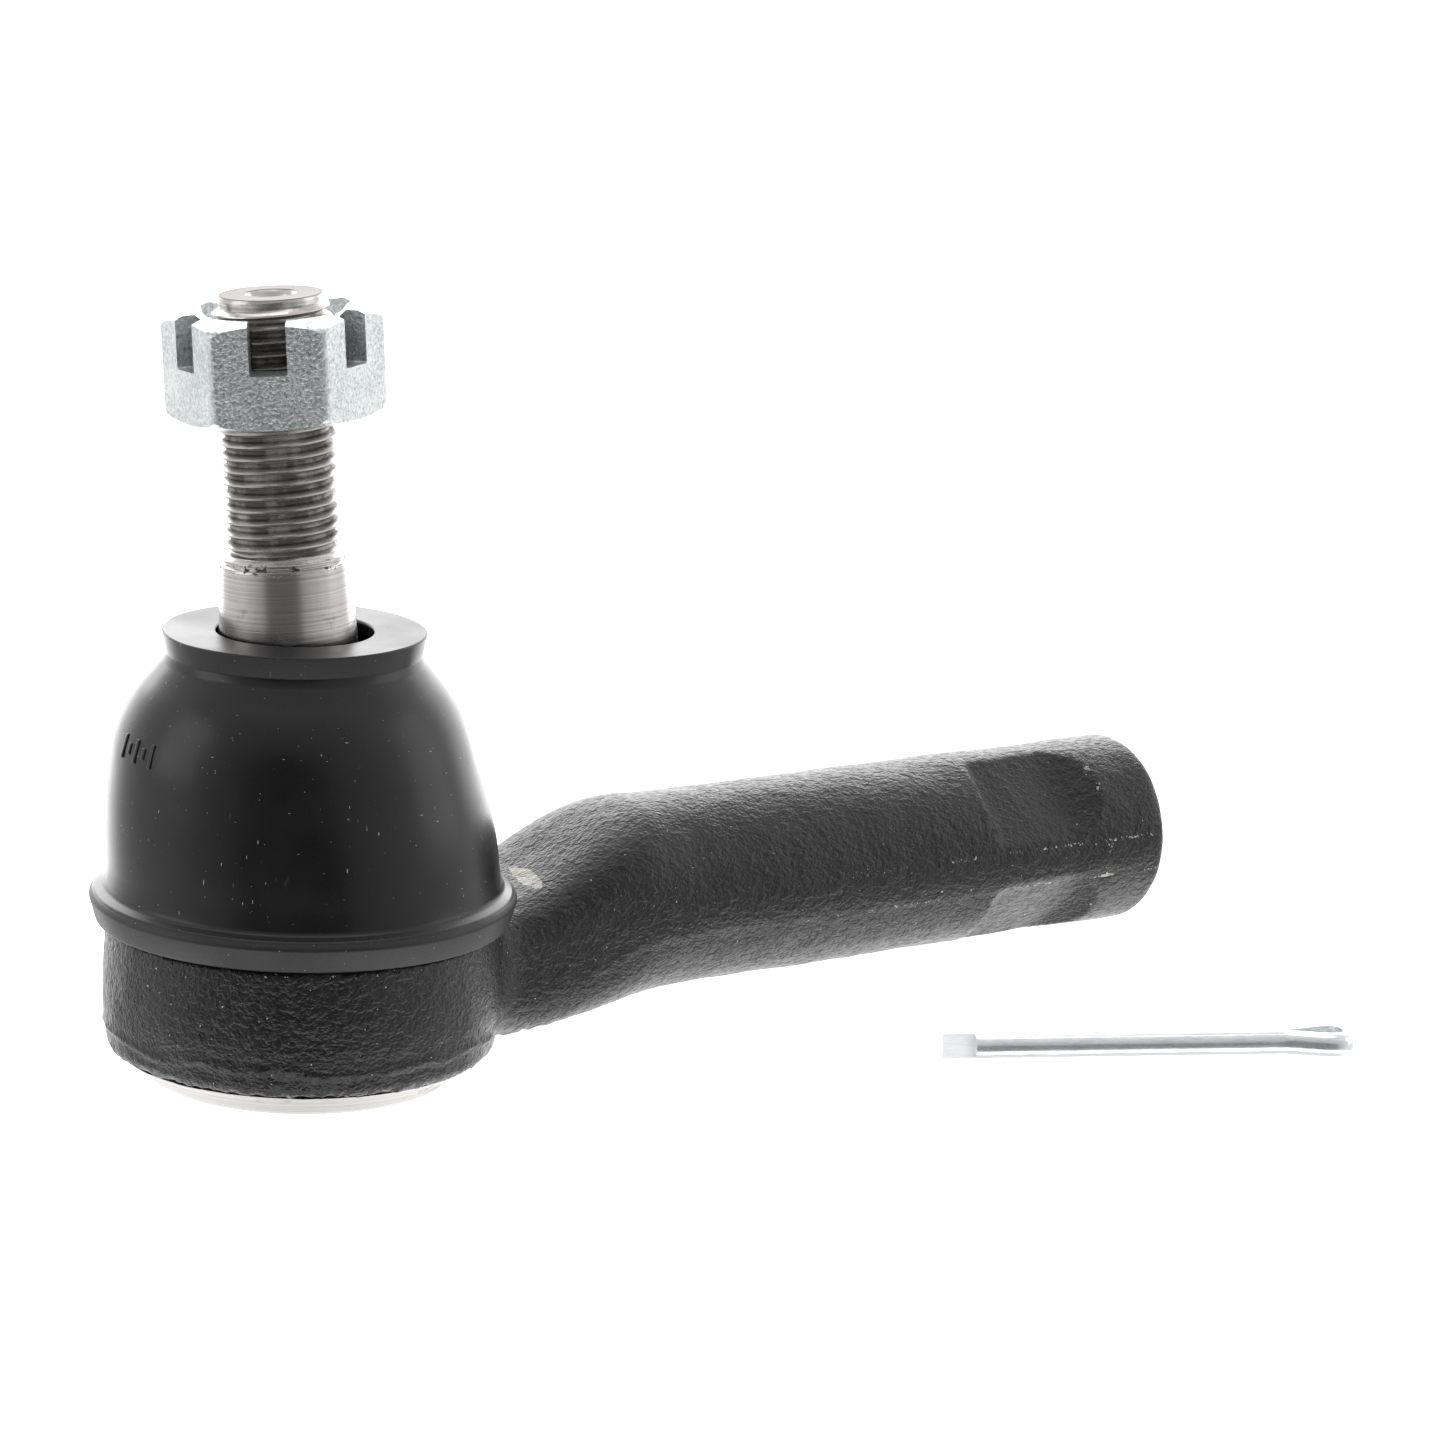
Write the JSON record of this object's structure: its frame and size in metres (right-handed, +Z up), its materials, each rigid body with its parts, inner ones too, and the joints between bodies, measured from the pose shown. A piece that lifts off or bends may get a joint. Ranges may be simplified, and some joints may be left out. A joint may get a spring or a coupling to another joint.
{
  "type": "tie rod end",
  "caption": "Ball joint end with a threaded shank, rubber dust boot, tapered stud with a slotted nut, and a loose split pin.",
  "frame": {"origin": "on the ball joint's axis, on the pad of the cover plate, the lowest face of the part", "axes": "+Z up the ball joint's axis, away from the cover plate; +X along the shank, away from the ball joint"},
  "size_m": [0.1223, 0.0674, 0.0775],
  "materials": {
    "forging": "black dip coat over a forged skin, semi-gloss",
    "bare_steel": "turned bare steel",
    "spring_steel": "dark tempered steel",
    "polymer": "natural moulded polymer",
    "boot_rubber": "smooth moulded rubber, satin",
    "zinc": "bright zinc plate"
  },
  "bodies": {
    "housing": {"housing": "forging", "cover_plate": "bare_steel", "preload_spring": "spring_steel", "upper_ball_seat": "polymer", "boot_base_ring": "spring_steel"},
    "lower_seat": {"lower_ball_seat": "polymer"},
    "boot": {"dust_boot": "boot_rubber"},
    "stud": {"ball_stud": "bare_steel"},
    "nut": {"castle_nut": "zinc"},
    "split_pin": {"cotter_pin": "zinc"}
  },
  "joints": [
    {"name": "swing_direction", "type": "hinge", "parent": "housing", "child": "lower_seat", "pos_m": [0, 0, 0.0145], "axis": [0, 0, 1], "continuous": true},
    {"name": "stud_tilt", "type": "hinge", "parent": "lower_seat", "child": "boot", "pos_m": [0, 0, 0.0145], "axis": [-0.4924, -0.8704, 0], "range_deg": [-27.5, 20], "deforming": ["dust_boot"]},
    {"name": "stud_spin", "type": "hinge", "parent": "boot", "child": "stud", "pos_m": [0, 0, 0.0145], "axis": [-0.0577, 0.0326, 0.9978], "continuous": true},
    {"name": "nut_travel", "type": "slide", "parent": "stud", "child": "nut", "axis": [-0.0577, 0.0326, 0.9978], "range_m": [-0.0115, 0.013]},
    {"name": "cotter_lift", "type": "slide", "parent": "housing", "child": "split_pin", "axis": [0, 0, 1], "range_m": [0, 0.03]}
  ]
}
